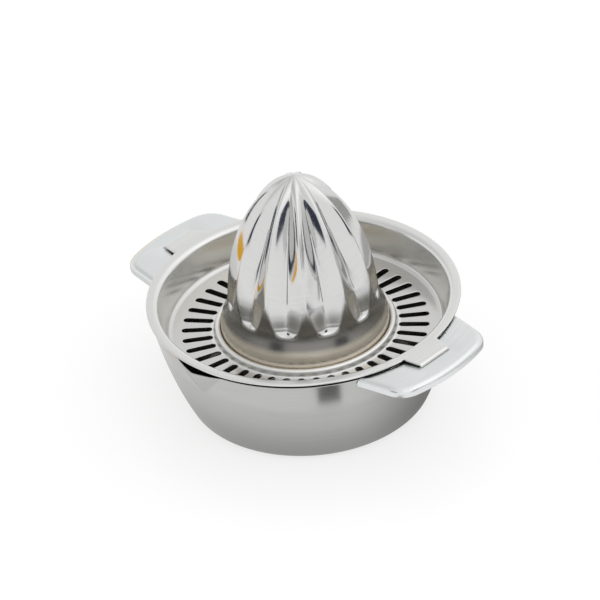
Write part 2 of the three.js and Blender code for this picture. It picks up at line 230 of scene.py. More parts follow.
def normals_2d(points):
    """Left-hand normals of an open line."""
    step = np.diff(points, axis=0)
    step /= np.linalg.norm(step, axis=1)[:, None]
    before, after = np.vstack([step[:1], step]), np.vstack([step, step[-1:]])
    along = before + after
    along /= np.linalg.norm(along, axis=1)[:, None]
    mitre = 1 / np.maximum((along * after).sum(1), 0.7)
    return np.stack([-along[:, 1], along[:, 0]], 1) * mitre[:, None]


def rounded_end(point, direction, normal, thickness, steps=4):
    """Points round the cut end of a sheet, from its left side to its right."""
    half, turn = thickness / 2, np.radians(np.linspace(0, 90, steps + 1))[:, None]
    first = point + normal * half - direction * EDGE_ROUND
    upper = first + direction * EDGE_ROUND * np.sin(turn) - normal * EDGE_ROUND * (1 - np.cos(turn))
    lower = upper - 2 * normal * ((upper - point) @ normal)[:, None]
    return np.vstack([upper, lower[::-1]])


def unit(vector):
    return vector / np.linalg.norm(vector)


def sheet_section(middle, thickness):
    """Section of a sheet that follows a middle line, with its last end cut and rounded."""
    side = normals_2d(middle) * thickness / 2
    side[0] = (0, math.copysign(thickness / 2, side[0, 1]))
    cap = rounded_end(middle[-1], unit(middle[-1] - middle[-2]), unit(side[-1]), thickness)
    return joined(middle[:1] + side[:1], middle[1:-1] + side[1:-1], cap,
                  (middle[1:-1] - side[1:-1])[::-1], middle[:1] - side[:1])


# ---------- meshes ----------

class Surface:
    """Collects patches of a mesh in millimetres. Patches with the same border points are welded."""

    def __init__(self):
        self.points, self.faces = [], []

    def add(self, points):
        points = np.asarray(points, float)
        start = sum(len(p) for p in self.points)
        self.points.append(points.reshape(-1, 3))
        return np.arange(start, start + points[..., 0].size).reshape(points.shape[:-1])

    def grid(self, points, closed=False):
        """Quads between the rows and columns of points, which go round when closed."""
        index = self.add(points)
        if closed:
            index = np.hstack([index, index[:, :1]])
        quads = np.stack([index[:-1, :-1], index[1:, :-1], index[1:, 1:], index[:-1, 1:]], -1)
        self.faces.extend(quads.reshape(-1, 4).tolist())

    def triangles(self, points, triangles):
        index = self.add(points)
        self.faces.extend(index[np.asarray(triangles)].tolist())

    def build(self, name, material, crease=32.0):
        mesh = bpy.data.meshes.new(name)
        mesh.from_pydata((np.vstack(self.points) * MM).tolist(), [], self.faces)
        work = bmesh.new()
        work.from_mesh(mesh)
        bmesh.ops.remove_doubles(work, verts=work.verts, dist=WELD_DISTANCE * MM)
        bmesh.ops.dissolve_degenerate(work, edges=work.edges, dist=WELD_DISTANCE * MM)
        bmesh.ops.recalc_face_normals(work, faces=work.faces)
        work.to_mesh(mesh)
        work.free()
        mesh.shade_smooth()
        mesh.set_sharp_from_angle(angle=math.radians(crease))
        mesh.materials.append(material)
        piece = bpy.data.objects.new(name, mesh)
        bpy.context.scene.collection.objects.link(piece)
        return piece


def turned(section, angles, push=None):
    """Points of a section (radius, height) turned round Z to each angle in degrees.

    Rows are section points. push gives how far each point moves out."""
    radius, height = section[:, :1], section[:, 1:2]
    turn = np.radians(angles)[None, :]
    if push is not None:
        radius = radius + push(np.asarray(angles)[None, :], height, radius) * (radius > 1e-6)
    height = np.broadcast_to(height, np.broadcast_shapes(radius.shape, turn.shape))
    return np.stack([radius * np.cos(turn), radius * np.sin(turn), height], -1)


def soft_max(value, softness):
    """Smooth version of max(value, 0)."""
    rounded = (value + np.sqrt(value ** 2 + softness ** 2)) / 2
    return rounded - softness / 2 * np.exp(-np.abs(value) / softness)


def edge_strip(top, bottom, outward, radius, steps=3):
    """Rounded edge of a sheet between its top and bottom border points."""
    up = top - bottom
    up = up / np.linalg.norm(up, axis=-1, keepdims=True)
    turn = np.radians(np.linspace(0, 90, steps + 1))
    rows = [top + outward * radius * math.sin(a) - up * radius * (1 - math.cos(a)) for a in turn]
    rows += [bottom + outward * radius * math.sin(a) + up * radius * (1 - math.cos(a))
             for a in turn[::-1]]
    return np.stack(rows)


# ---------- juice bowl ----------

def bowl_middle():
    lean = math.radians(BASE_LEAN)
    foot = (BOWL_BASE_RADIUS + BASE_BEND * math.cos(lean),
            SHEET / 2 + BASE_BEND - BASE_BEND * math.sin(lean))
    rim = (BOWL_RIM_RADIUS, BOWL_RIM_TOP)
    foot_way = (math.sin(lean), math.cos(lean))
    rim_way = (math.sin(math.radians(RIM_LEAN)), math.cos(math.radians(RIM_LEAN)))
    control = crossing(foot, foot_way, rim, rim_way)
    return joined(line((0, SHEET / 2), (BOWL_BASE_RADIUS, SHEET / 2), 24),
                  arc((BOWL_BASE_RADIUS, SHEET / 2 + BASE_BEND), BASE_BEND, -90, -BASE_LEAN, 14),
                  bezier([foot, control, rim], 60))


def spout_push(angle, height, radius):
    """A pressed V: a soft ridge, furthest out at the lip and fading down the wall."""
    along = np.radians(np.abs((angle + 270) % 360 - 180))
    across = np.sqrt((along * radius / SPOUT_HALF_WIDTH) ** 2 + SPOUT_SOFTNESS ** 2) - SPOUT_SOFTNESS
    down = (BOWL_RIM_TOP - height) / SPOUT_DEPTH
    return SPOUT_REACH * soft_max(1 - np.maximum(down, 0) - across, SPOUT_SOFTNESS)


def juice_bowl(material):
    spout = np.linspace(-108, -72, 91)
    angles = np.concatenate([spout, np.linspace(-72, 252, 271)[1:-1]])
    surface = Surface()
    surface.grid(turned(sheet_section(bowl_middle(), SHEET), angles, spout_push), closed=True)
    return surface.build("bowl_shell", material)


# ---------- strainer dish ----------

def dish_wall_middle():
    """From the slotted floor out to the flange edge."""
    top = RIM_TOP - SHEET / 2
    lean = math.radians(WALL_LEAN)
    lip = (RIM_RADIUS - FLANGE_WIDTH, top - LIP_BEND)
    lip_end = (lip[0] - LIP_BEND * math.cos(lean), lip[1] + LIP_BEND * math.sin(lean))
    bend_height = FLOOR_MIDDLE + FLOOR_BEND
    wall_foot = bend_height - FLOOR_BEND * math.sin(lean)
    wall_foot_radius = lip_end[0] - (lip_end[1] - wall_foot) * math.tan(lean)
    bend_radius = wall_foot_radius - FLOOR_BEND * math.cos(lean)
    return joined(line((SLOT_RING, FLOOR_MIDDLE), (bend_radius, FLOOR_MIDDLE), 3),
                  arc((bend_radius, bend_height), FLOOR_BEND, -90, -WALL_LEAN, 12),
                  line((wall_foot_radius, wall_foot), lip_end, 14),
                  arc(lip, LIP_BEND, 180 - WALL_LEAN, 90, 12),
                  line((lip[0], top), (RIM_RADIUS - EDGE_ROUND, top), 2))


def collar_middle():
    """From the slotted floor in to the cut edge of the raised collar."""
    crest = FLOOR_MIDDLE + COLLAR_HEIGHT
    lip = COLLAR_RADIUS + COLLAR_LIP
    return joined(bezier([(COLLAR_FOOT, FLOOR_MIDDLE), (COLLAR_FOOT - COLLAR_LOW_PULL, FLOOR_MIDDLE),
                          (COLLAR_FOOT - COLLAR_HIGH_PULL, crest), (lip, crest)], 14),
                  bezier([(lip, crest), (COLLAR_RADIUS, crest), (COLLAR_RADIUS, crest - COLLAR_LIP)], 6))


def dish_columns():
    count = SLOT_COUNT * COLUMNS_PER_SLOT
    return SLOT_PHASE - 180 / SLOT_COUNT + np.arange(count) * 360 / count


def slot_loop(grow):
    """Outline of a slot along +X, clockwise from the inner end, COLUMNS_PER_SLOT steps an end."""
    half = SLOT_WIDTH / 2
    inner = arc((SLOT_INNER + half, 0), half + grow, 270, 90, COLUMNS_PER_SLOT)
    outer = arc((SLOT_OUTER - half, 0), half + grow, 90, -90, COLUMNS_PER_SLOT)
    left = line(inner[-1], outer[0], SIDE_STEPS)[1:-1]
    right = line(outer[-1], inner[0], SIDE_STEPS)[1:-1]
    return np.vstack([inner, left, outer, right])


def sector_loop():
    """Outline of one slot's share of the floor, with a point for each point of slot_loop."""
    half = 180 / SLOT_COUNT
    inner = arc((0, 0), COLLAR_FOOT, -half, half, COLUMNS_PER_SLOT)
    outer = arc((0, 0), SLOT_RING, half, -half, COLUMNS_PER_SLOT)
    left = line(inner[-1], outer[0], SIDE_STEPS)[1:-1]
    right = line(outer[-1], inner[0], SIDE_STEPS)[1:-1]
    return np.vstack([inner, left, outer, right])


def right_of(loop):
    """Unit normals of a closed plan loop, to its right going round."""
    step = np.roll(loop, -1, 0) - np.roll(loop, 1, 0)
    normal = np.stack([step[:, 1], -step[:, 0]], 1)
    return normal / np.linalg.norm(normal, axis=1)[:, None]


def at_height(plan, height):
    return np.concatenate([plan, np.full(plan.shape[:-1] + (1,), height)], -1)


def rotated(points, degrees):
    turn = math.radians(degrees)
    c, s = math.cos(turn), math.sin(turn)
    matrix = np.array([[c, s, 0], [-s, c, 0], [0, 0, 1]])
    return points @ matrix


def slotted_floor(surface):
    slot, sector = slot_loop(SLOT_ROUND), sector_loop()
    middle = slot * (1 - RING_SHARE) + sector * RING_SHARE
    inward = at_height(right_of(slot), 0)
    top, bottom = FLOOR_MIDDLE + SHEET / 2, FLOOR_MIDDLE - SHEET / 2
    edge = edge_strip(at_height(slot, top), at_height(slot, bottom), inward, SLOT_ROUND)
    for i in range(SLOT_COUNT):
        angle = SLOT_PHASE + i * 360 / SLOT_COUNT
        for height in (top, bottom):
            surface.grid(rotated(at_height(np.stack([sector, middle, slot]), height), angle), closed=True)
        surface.grid(rotated(edge, angle), closed=True)


def tab_path():
    """Middle line of a tab beyond the flange, from the start of the flange's edge rounding."""
    top = RIM_TOP - SHEET / 2
    turn = (TAB_REACH - TAB_BEND, top - TAB_DROP - TAB_BEND)
    return joined(line((RIM_RADIUS - EDGE_ROUND, top), (RIM_RADIUS + TAB_FLAT, top), 2),
                  bezier([(RIM_RADIUS + TAB_FLAT, top), (RIM_RADIUS + TAB_ROOT_PULL, top),
                          (TAB_REACH - TAB_TIP_PULL, top - TAB_DROP), (turn[0], turn[1] + TAB_BEND)], 12),
                  arc(turn, TAB_BEND, 90, 0, 7),
                  line((TAB_REACH, turn[1]), (TAB_REACH, RIM_TOP - TAB_TIP_DEPTH + EDGE_ROUND), 5))


def tab_grids(root):
    """Top and bottom points of a tab along +X from its root points on the flange circle."""
    path, count = tab_path(), len(root)
    side = normals_2d(path) * SHEET / 2
    down = np.concatenate([[0], np.cumsum(np.linalg.norm(np.diff(path, axis=0), axis=1))])
    left_over = down[-1] - down
    spread = np.linspace(-1, 1, count)
    rows = []
    for i, point in enumerate(path):
        share = min(max((point[0] - RIM_RADIUS) / (TAB_REACH - RIM_RADIUS), 0), 1)
        width = TAB_ROOT_WIDTH * (1 - share) + TAB_TIP_WIDTH * share
        corner = max(0.0, 1 - left_over[i] / TAB_CORNER)
        width -= 2 * TAB_CORNER * (1 - math.sqrt(max(0.0, 1 - corner ** 2)))
        settle = min(1.0, i / TAB_SETTLE_ROWS)
        y = root[:, 1] * (1 - settle) + spread * width / 2 * settle
        x = point[0] + (root[:, 0] - path[0, 0]) * (1 - settle)
        rows.append((x, y, side[i], point[1]))
    top = np.stack([np.stack([x + s[0], y, np.full(count, z + s[1])], 1) for x, y, s, z in rows])
    bottom = np.stack([np.stack([x - s[0], y, np.full(count, z - s[1])], 1) for x, y, s, z in rows])
    return top, bottom, path


def tab_outline(top, bottom, path):
    """A tab's border from one root corner round the tip to the other: top, bottom and outward points."""
    tip = unit(path[-1] - path[-2])
    tip = (tip[0], 0.0, tip[1])
    corner = tuple(np.array([tip[0], -1.0, tip[2]]) / math.sqrt(2))
    side = [(0.0, -1.0, 0.0)] * (len(path) - 2) + [corner]
    outward = side + [tip] * (top.shape[1] - 2) + [(a, -b, c) for a, b, c in reversed(side)]
    borders = [np.vstack([grid[1:, 0], grid[-1, 1:-1], grid[:0:-1, -1]]) for grid in (top, bottom)]
    return (*borders, np.array(outward))


def angle_from(centre, angles):
    """Angles seen from a centre, from -180 to 180."""
    return (angles - centre + 180) % 360 - 180


def flange_columns():
    """Column angles at the flange's edge, with two of them moved to each tab's sides.

    Also gives each tab's centre and the columns inside it."""
    half_angle = math.degrees(math.asin(TAB_ROOT_WIDTH / 2 / RIM_RADIUS))
    columns, tabs = dish_columns() % 360, []
    for centre in (0, 180):
        away = angle_from(centre, columns)
        first, last = np.argmin(np.abs(away + half_angle)), np.argmin(np.abs(away - half_angle))
        columns[first], columns[last] = centre - half_angle, centre + half_angle
        inside = np.flatnonzero(np.abs(angle_from(centre, columns)) <= half_angle + 1e-6)
        tabs.append((centre, inside[np.argsort(angle_from(centre, columns[inside]))]))
    return columns, tabs


def flange_edge(surface, top_ring, bottom_ring, columns, tabs):
    """The tabs, and one edge strip that follows the flange and goes out round each of them."""
    radial = np.stack([np.cos(np.radians(columns)), np.sin(np.radians(columns)), np.zeros(len(columns))], 1)
    tops, bottoms, outward = [], [], []
    for (_, before), (centre, inside) in ((tabs[0], tabs[1]), (tabs[1], tabs[0])):
        top, bottom, path = tab_grids(rotated(top_ring[inside], -centre))
        surface.grid(rotated(top, centre))
        surface.grid(rotated(bottom, centre))
        tab_top, tab_bottom, tab_out = (rotated(part, centre) for part in tab_outline(top, bottom, path))
        between = (inside[0] - before[-1]) % len(columns)
        stretch = (before[-1] + np.arange(between + 1)) % len(columns)
        flange_out = radial[stretch]
        flange_out[-1] = unit(flange_out[-1] + tab_out[0])
        tops += [top_ring[stretch], tab_top]
        bottoms += [bottom_ring[stretch], tab_bottom]
        outward += [flange_out, tab_out]
    surface.grid(edge_strip(np.vstack(tops), np.vstack(bottoms), np.vstack(outward), EDGE_ROUND), closed=True)


def strainer_dish(material):
    columns = dish_columns()
    surface = Surface()
    slotted_floor(surface)
    surface.grid(turned(sheet_section(collar_middle(), SHEET), columns), closed=True)

    # The wall's two sides run out to where the flange's edge rounding starts.
    middle = dish_wall_middle()
    offset = normals_2d(middle) * SHEET / 2
    outer_columns, tabs = flange_columns()
    flat_rows = 3
    rings = []
    for side in (middle + offset, middle - offset):
        points = turned(side, columns)
        points[-flat_rows:] = turned(side[-flat_rows:], outer_columns)
        surface.grid(points, closed=True)
        rings.append(points[-1])
    flange_edge(surface, *rings, outer_columns, tabs)
    return surface.build("dish_shell", material)


# ---------- reamer cone ----------

def cone_radius(height):
    widest = RIM_TOP - CONE_WIDEST_DROP
    share = np.clip((height - widest) / (CONE_RISE + CONE_WIDEST_DROP), 0, 1)
    return CONE_RADIUS * (1 - share ** CONE_FULLNESS) ** CONE_BLUNTNESS


def cone_middle():
    """From the hidden flange, up through the collar, up the flared skirt and the ogive to the tip."""
    flange = FLOOR_MIDDLE - SHEET - GAP
    flare_foot, flare_top = RIM_TOP - FLARE_FOOT_DROP, RIM_TOP + FLARE_TOP_RISE
    skirt = cone_radius(flare_top) - SHEET / 2
    tip = RIM_TOP + CONE_RISE - SHEET / 2
    base = joined(line((CONE_FLANGE, flange), (CONE_NECK + FOOT_BEND, flange), 3),
                  arc((CONE_NECK + FOOT_BEND, flange + FOOT_BEND), FOOT_BEND, 270, 180, 6),
                  line((CONE_NECK, flange + FOOT_BEND), (CONE_NECK, flare_foot), 4),
                  bezier([(CONE_NECK, flare_foot), (CONE_NECK, flare_foot + FLARE_LOW_PULL),
                          (skirt, flare_top - FLARE_HIGH_PULL), (skirt, flare_top)], 40))
    runout_end = RIM_TOP + FLUTE_FOOT + FLUTE_RUNOUT
    runout = np.linspace(flare_top, runout_end, 22)[1:]
    turn = np.linspace(math.asin((runout_end - flare_top) / (tip - flare_top)), math.pi / 2, 64)[1:]
    heights = np.concatenate([runout, flare_top + (tip - flare_top) * np.sin(turn)])
    radii = np.maximum(cone_radius(heights + SHEET / 2) - SHEET / 2, 0)
    radii[-1] = 0
    return joined(base, np.stack([radii, heights], 1))


def flute_depth(rise):
    """Depth of a flute's middle below the crest circle, with a round lower end."""
    u = np.clip(rise / (CONE_RISE - FLUTE_FOOT), 0, 1)
    start = FLUTE_RUNOUT / (CONE_RISE - FLUTE_FOOT)
    opening = FLUTE_GROWTH * start * (1 - start * start) * (u / start) ** FLUTE_ROUNDNESS
    return np.where(u < start, opening, FLUTE_GROWTH * u * (1 - u * u))


def flute_push(angle, height, radius):
    """V flutes between crests that are rounded to the same small radius all the way up."""
    turn = (angle - FLUTE_PHASE) * FLUTE_COUNT / 360
    across = np.abs(2 * (turn - np.floor(turn)) - 1)
    half_pitch = math.pi * np.maximum(radius, CREST_LEAST_RADIUS) / FLUTE_COUNT
    near = CREST_ROUND / half_pitch
    from_crest = np.sqrt((1 - across) ** 2 + near ** 2) - near
    rise = height - RIM_TOP - FLUTE_FOOT
    depth = np.minimum(flute_depth(rise), FLUTE_LIMIT * radius)
    crest = np.where(rise < FLUTE_RUNOUT, flute_depth(FLUTE_RUNOUT), depth)
    from_valley = np.hypot(1 - from_crest, FLUTE_VALLEY) - FLUTE_VALLEY
    below = depth - crest * from_valley / (math.hypot(1, FLUTE_VALLEY) - FLUTE_VALLEY)
    softness = np.minimum(FLUTE_SOFTNESS, FLUTE_TIP_SOFTNESS * radius + 1e-6)
    return -soft_max(below, softness) * (rise > -FLUTE_FADE)


def reamer_cone(material):
    step = np.linspace(-1, 1, COLUMNS_PER_FLUTE + 1)[:-1]
    across = np.sin(step * math.pi / 2)
    pitch = 360 / FLUTE_COUNT
    angles = np.concatenate([FLUTE_PHASE + (i + (across + 1) / 2) * pitch for i in range(FLUTE_COUNT)])
    middle = cone_middle()[::-1]
    surface = Surface()
    surface.grid(turned(sheet_section(middle, SHEET), angles, flute_push), closed=True)
    return surface.build("cone_shell", material, crease=60)


# ---------- wing handles ----------

def handle_outline(inset):
    """Plan outline of a handle along +X, drawn in by inset, from one end at the bowl round to the other."""
    outer = HANDLE_OUTER - inset
    root = HANDLE_INNER * np.array([math.cos(math.radians(HANDLE_ROOT_ANGLE)),
                                    math.sin(math.radians(HANDLE_ROOT_ANGLE))])
    tip = HANDLE_OUTER * np.array([math.cos(math.radians(HANDLE_TIP_ANGLE)),
                                   math.sin(math.radians(HANDLE_TIP_ANGLE))])
    way = unit(tip - root)
    inward = np.array([way[1], -way[0]]) * inset
    base = root + inward
    along = -base @ way + math.sqrt((base @ way) ** 2 - base @ base + HANDLE_INNER ** 2)
    start = base + way * along
    corner = tip + inward - way * inset
    bend = corner - way * HANDLE_CORNER
    bend_end = math.asin(corner[1] / outer) - HANDLE_CORNER / outer
    arc_end = outer * np.array([math.cos(bend_end), math.sin(bend_end)])
    half = joined(line(start, bend, 16), bezier([bend, corner, arc_end], 14),
                  arc((0, 0), outer, math.degrees(bend_end), 0, 24))
    mirror = half[::-1][1:] * np.array([1, -1])
    return np.vstack([half, mirror])


def roll_rings():
    """(inset, height) of the outer and the inner side of the rolled edge, from the flat to the lip."""
    inner_roll = HANDLE_ROLL - HANDLE_SHEET
    turn = np.radians(np.linspace(0, 90, 13))
    centre = HANDLE_TOP - HANDLE_ROLL
    lip = np.linspace(centre, HANDLE_TOP - HANDLE_LIP + EDGE_ROUND, 4)[1:]
    outer = np.concatenate([np.stack([HANDLE_ROLL * (1 - np.sin(turn)),
                                      centre + HANDLE_ROLL * np.cos(turn)], 1),
                            np.stack([np.zeros(3), lip], 1)])
    inner = np.concatenate([np.stack([HANDLE_ROLL - inner_roll * np.sin(turn),
                                      centre + inner_roll * np.cos(turn)], 1),
                            np.stack([np.full(3, HANDLE_SHEET), lip], 1)])
    return outer, inner


def fill(surface, outline, holes, height, turn):
    """Flat triangles inside a plan outline and outside its holes, turned round Z."""
    loops = [outline] + holes
    points = np.vstack(loops)
    edges, start = [], 0
    for loop in loops:
        edges += [(start + i, start + (i + 1) % len(loop)) for i in range(len(loop))]
        start += len(loop)
    found, _, faces, *_ = delaunay_2d_cdt([Vector(p) for p in points], edges, [], 1, 1e-6)

    def hidden(face):
        centre = sum((found[i] for i in face), Vector((0, 0))) / len(face)
        return not inside_loop(centre, outline) or any(inside_loop(centre, hole) for hole in holes)
    kept = [face for face in faces if not hidden(face)]
    surface.triangles(rotated(at_height(np.array([list(p) for p in found]), height), turn), kept)


def inside_loop(point, loop):
    """Whether a plan point is inside a closed loop, by counting crossings."""
    x, y = point
    a, b = loop, np.roll(loop, -1, 0)
    spans = (a[:, 1] > y) != (b[:, 1] > y)
    a, b = a[spans], b[spans]
    return np.count_nonzero(x < a[:, 0] + (y - a[:, 1]) * (b[:, 0] - a[:, 0]) / (b[:, 1] - a[:, 1])) % 2 == 1


def lock_slot(grow):
    """Outline of the slot for the strainer's tab, anticlockwise."""
    half_w, half_l, corner = LOCK_SLOT_WIDTH / 2, LOCK_SLOT_LENGTH / 2, LOCK_SLOT_CORNER
    parts = []
    for sx, sy, start in ((1, 1, 0), (-1, 1, 90), (-1, -1, 180), (1, -1, 270)):
        centre = (TAB_REACH + sx * (half_w - corner), sy * (half_l - corner))
        parts.append(arc(centre, corner + grow, start, start + 90, 5))
    return joined(*parts)


def handle_roll(surface, place):
    """The rolled edge, open towards the bowl."""
    outer, inner = (np.stack([at_height(handle_outline(inset), height) for inset, height in rings])
                    for rings in roll_rings())
    surface.grid(place(outer))
    surface.grid(place(inner))
    down = np.zeros_like(outer[-1])
    down[:, 2] = -1
    lip = edge_strip(outer[-1], inner[-1], down, EDGE_ROUND)
    surface.grid(place(lip))
    half = len(lip) // 2
    for end in (0, -1):
        outside = np.vstack([outer[:, end], lip[1:half, end]])
        inside = np.vstack([inner[:, end], lip[half:-1, end][::-1]])
        surface.grid(place(np.stack([outside, inside])))


def handle_plate(surface, place, centre, weld_columns):
    """The plate, with relief notches beside the weld flange and a slot for the strainer's tab."""
    rim = handle_outline(HANDLE_ROLL)
    end_angle = math.degrees(math.atan2(rim[0, 1], rim[0, 0]))
    bend_radius = HANDLE_INNER + WELD_BEND
    notch = WELD_FLANGE_ANGLE + RELIEF_ANGLE
    mirror = np.array([1, -1])
    edge_low = arc((0, 0), HANDLE_INNER, -end_angle, -notch, 12)
    edge_high = edge_low[::-1] * mirror
    root = np.stack([bend_radius * np.cos(np.radians(weld_columns)),
                     bend_radius * np.sin(np.radians(weld_columns))], 1)
    deep = bend_radius + RELIEF_DEPTH
    notch_low = np.array([[deep * math.cos(math.radians(a)), deep * math.sin(math.radians(a))]
                          for a in (-notch, -WELD_FLANGE_ANGLE)])
    notch_high = notch_low[::-1] * mirror
    inner_edge = np.vstack([edge_low, notch_low, root, notch_high, edge_high])
    outline = np.vstack([rim, inner_edge[1:-1]])
    slot = lock_slot(SLOT_ROUND)
    low = HANDLE_TOP - HANDLE_SHEET
    for height in (HANDLE_TOP, low):
        fill(surface, outline, [slot], height, centre)
    slot_edge = edge_strip(at_height(slot, HANDLE_TOP), at_height(slot, low), at_height(-right_of(slot), 0),
                           SLOT_ROUND)
    surface.grid(place(slot_edge), closed=True)
    for border in (np.vstack([edge_low, notch_low, root[:1]]), np.vstack([root[-1:], notch_high, edge_high])):
        surface.grid(place(np.stack([at_height(border, HANDLE_TOP), at_height(border, low)])))


def weld_push(angle, height, radius):
    """Two spot welds, pressed in."""
    around = np.radians(np.abs(angle) - WELD_SPOT_ANGLE) * radius
    away = np.hypot(around, height - (HANDLE_TOP - WELD_SPOT_DROP)) / WELD_SPOT_RADIUS
    return -WELD_SPOT_DEPTH * np.clip(WELD_SPOT_STEEPNESS - WELD_SPOT_STEEPNESS * away ** 4, 0, 1)


def weld_flange(surface, place, weld_columns):
    """The flange that turns down against the bowl wall, with two spot welds."""
    bend_radius = HANDLE_INNER + WELD_BEND
    lean = math.tan(math.radians(WELD_FLANGE_LEAN))
    drop = np.linspace(0, WELD_FLANGE_HEIGHT - WELD_BEND - EDGE_ROUND, 15)[1:]
    turn = np.radians(np.linspace(0, 90, 8))
    face = np.concatenate([np.stack([bend_radius - WELD_BEND * np.sin(turn),
                                     HANDLE_TOP - WELD_BEND * (1 - np.cos(turn))], 1),
                           np.stack([HANDLE_INNER - drop * lean, HANDLE_TOP - WELD_BEND - drop], 1)])
    small = WELD_BEND - HANDLE_SHEET
    back = np.concatenate([np.stack([bend_radius - small * np.sin(turn),
                                     HANDLE_TOP - WELD_BEND + small * np.cos(turn)], 1),
                           np.stack([HANDLE_INNER + HANDLE_SHEET - drop * lean,
                                     HANDLE_TOP - WELD_BEND - drop], 1)])
    sides = turned(face, weld_columns), turned(back, weld_columns, weld_push)
    for points in sides:
        surface.grid(place(points))
    borders = [np.vstack([points[:, 0], points[-1, 1:-1], points[::-1, -1]]) for points in sides]
    surface.grid(place(np.stack(borders)))


def wing_handle(name, material, centre):
    def place(points):
        return rotated(points, centre)

    surface = Surface()
    weld_columns = np.linspace(-WELD_FLANGE_ANGLE, WELD_FLANGE_ANGLE, 57)
    handle_roll(surface, place)
    handle_plate(surface, place, centre, weld_columns)
    weld_flange(surface, place, weld_columns)
    return surface.build(name, material)


# ---------- materials ----------

# Grain round Z: waves round a half turn, waves per metre of the section, detail, offset
FINE_GRAIN = (2.2, 2600.0, 3.0, 0.0)
BROAD_GRAIN = (1.1, 570.0, 2.0, 37.0)
GRAIN_TONES = (0.97, 1.02)     # darkest and lightest grain line, as shares of the colour
CLOUD_SCALE = 38.0             # broad patches of handling marks, and what they add to the roughness
CLOUD_ROUGHNESS = (-0.02, 0.035)
SMUDGE_SCALE = 140.0
SMUDGE_ROUGHNESS = 0.03
WAVE_SCALE = 30.0              # slow waves of the sheet
WAVE_HEIGHT = 0.02             # in millimetres

# Where the steel's painted shade, light and reflections change, in millimetres
DISH_WALL_SHADE_TOP = 44.5
DISH_FLOOR_SHADE_TOP = 35.0
DISH_COLLAR_LIGHT_EDGE = 39.4
CONE_REFLECTION_BAND_TOP = 41.3
CONE_SKIRT_REFLECTION_TOP = 57.0
BOWL_INSIDE_SHADE_TOP = 38.0
SKIRT_REFLECTION_DEPTH = (0.15, 0.6)      # how far under the crest circle the skirt's painted dark reflection starts to fade, and ends


class Nodes:
    """A short way to write a node tree."""

    def __init__(self, tree):
        self.tree = tree

    def add(self, kind, values=(), **settings):
        node = self.tree.nodes.new(kind)
        for key, value in settings.items():
            setattr(node, key, value)
        for key, value in dict(values).items():
            socket = node.inputs[key]
            if isinstance(value, bpy.types.NodeSocket):
                self.tree.links.new(value, socket)
            else:
                socket.default_value = value
        return node

    def math(self, operation, a, b=0.0, clamp=False):
        return self.add("ShaderNodeMath", {0: a, 1: b}, operation=operation, use_clamp=clamp).outputs[0]

    def scale_range(self, value, low, high, to_low, to_high):
        node = self.add("ShaderNodeMapRange", {0: value, 1: low, 2: high, 3: to_low, 4: to_high},
                        interpolation_type="SMOOTHSTEP")
        return node.outputs[0]

    def mix(self, share, a, b):
        node = self.add("ShaderNodeMix", data_type="RGBA")
        for socket, value in zip((node.inputs[0], node.inputs[6], node.inputs[7]), (share, a, b)):
            if isinstance(value, bpy.types.NodeSocket):
                self.tree.links.new(value, socket)
            else:
                socket.default_value = value
        return node.outputs[2]


def window(nodes, value, low, high, soft):
    """1 between low and high and 0 outside, with soft ends."""
    rise = nodes.scale_range(value, low - soft, low + soft, 0.0, 1.0)
    fall = nodes.scale_range(value, high - soft, high + soft, 1.0, 0.0)
    return nodes.math("MULTIPLY", rise, fall)


